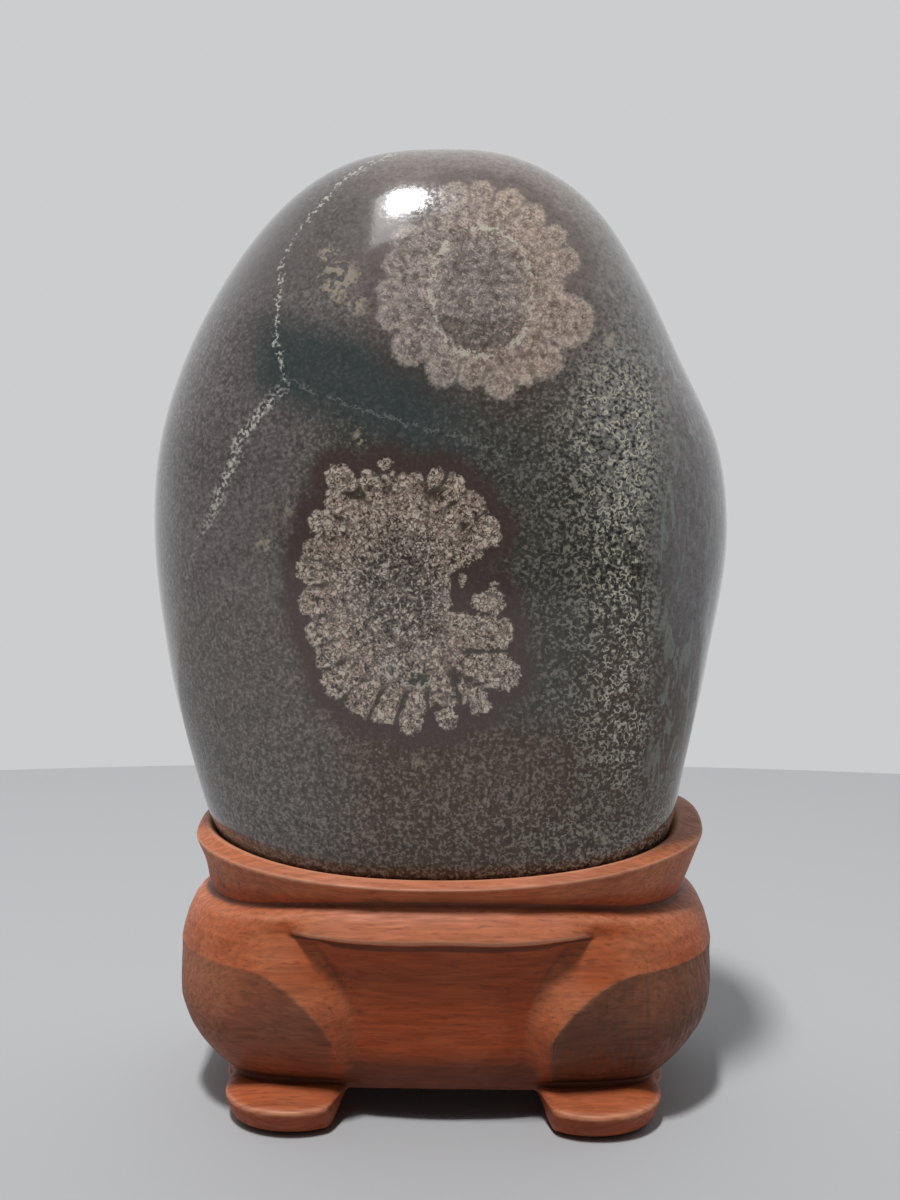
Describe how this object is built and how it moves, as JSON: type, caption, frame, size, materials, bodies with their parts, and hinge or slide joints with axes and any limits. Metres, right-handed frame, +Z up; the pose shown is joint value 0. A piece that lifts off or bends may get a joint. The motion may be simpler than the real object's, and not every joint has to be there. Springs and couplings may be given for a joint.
{
  "type": "scholar's rock on a stand",
  "caption": "Polished egg-shaped viewing stone with flower-like markings, resting in a carved wooden stand with a raised rim and slipper-shaped feet.",
  "frame": {"origin": "on the table under the middle of the outline", "axes": "+Z up, -Y towards the marked front face, +X to its right"},
  "size_m": [0.1364, 0.0846, 0.222],
  "materials": {
    "stone": "polished dark olive-brown stone with pale speckle, thin veins and two tan flower-like rosettes",
    "stand": "hand-carved reddish rosewood, satin"
  },
  "bodies": {
    "root": {"stone": "stone", "stand": "stand"}
  },
  "joints": []
}
